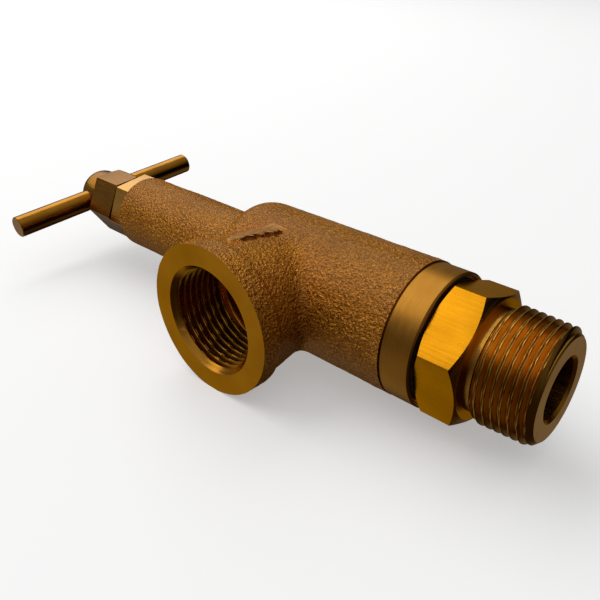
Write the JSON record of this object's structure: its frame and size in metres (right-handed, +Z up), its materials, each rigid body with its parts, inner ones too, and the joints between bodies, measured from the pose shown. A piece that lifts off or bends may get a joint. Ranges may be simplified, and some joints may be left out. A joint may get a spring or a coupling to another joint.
{
  "type": "pressure relief valve",
  "caption": "Angle-pattern spring-loaded relief valve: threaded inlet adapter, threaded side outlet, and a T-bar adjusting screw with a locknut.",
  "frame": {"origin": "centre of the inlet adapter's end face", "axes": "+X along the valve axis, out of the inlet; the outlet points towards -Y; +Z up"},
  "size_m": [0.1641, 0.0646, 0.037],
  "materials": {
    "cast_bronze": "sand-cast bronze with machined faces",
    "machined_brass": "turned and milled",
    "dark_brass": "drawn bar, slightly tarnished",
    "dull_brass": "tarnished sheet",
    "steel": "turned stainless steel",
    "spring_steel": "drawn spring wire",
    "black_rubber": "moulded rubber",
    "white_plastic": "turned PTFE"
  },
  "bodies": {
    "valve_body": {"body_casting": "cast_bronze", "inlet_adapter": "machined_brass", "adapter_gasket": "black_rubber", "seat_ring": "steel", "seat_gasket": "black_rubber", "spring": "spring_steel"},
    "poppet_group": {"poppet": "machined_brass", "seal_disc": "white_plastic", "seal_washer": "steel", "seal_screw": "steel", "guide_ring": "white_plastic", "lower_spring_plate": "steel"},
    "spring_rest": {"spring_button": "machined_brass", "button_o_ring": "black_rubber", "button_backup_ring": "white_plastic", "thrust_ball": "steel"},
    "screw_group": {"adjusting_screw": "dark_brass", "t_bar": "dark_brass"},
    "nut_washer": {"locknut_washer": "dull_brass"},
    "nut": {"locknut": "dark_brass"}
  },
  "joints": [
    {"name": "poppet_lift", "type": "slide", "parent": "valve_body", "child": "poppet_group", "axis": [-1, 0, 0], "range_m": [0, 0.0035], "stiffness_N_per_m": 25000, "springref_m": -0.012, "deforming": ["spring"]},
    {"name": "adjust_advance", "type": "slide", "parent": "valve_body", "child": "spring_rest", "axis": [1, 0, 0], "range_m": [-0.009, 0.0008], "deforming": ["spring"]},
    {"name": "handle_turn", "type": "hinge", "parent": "spring_rest", "child": "screw_group", "pos_m": [-0.1583, 0, 0], "axis": [1, 0, 0], "range_deg": [-1800, 144]},
    {"name": "locknut_back_off", "type": "slide", "parent": "valve_body", "child": "nut_washer", "axis": [1, 0, 0], "range_m": [-0.00045, 0]},
    {"name": "locknut_turn", "type": "hinge", "parent": "nut_washer", "child": "nut", "pos_m": [-0.146, 0, 0], "axis": [1, 0, 0], "range_deg": [-90, 0]}
  ],
  "couplings": [
    {"joint": "adjust_advance", "follows": "handle_turn", "m_per_rad": 0.00027852},
    {"joint": "locknut_back_off", "follows": "locknut_turn", "m_per_rad": 0.00027852}
  ]
}
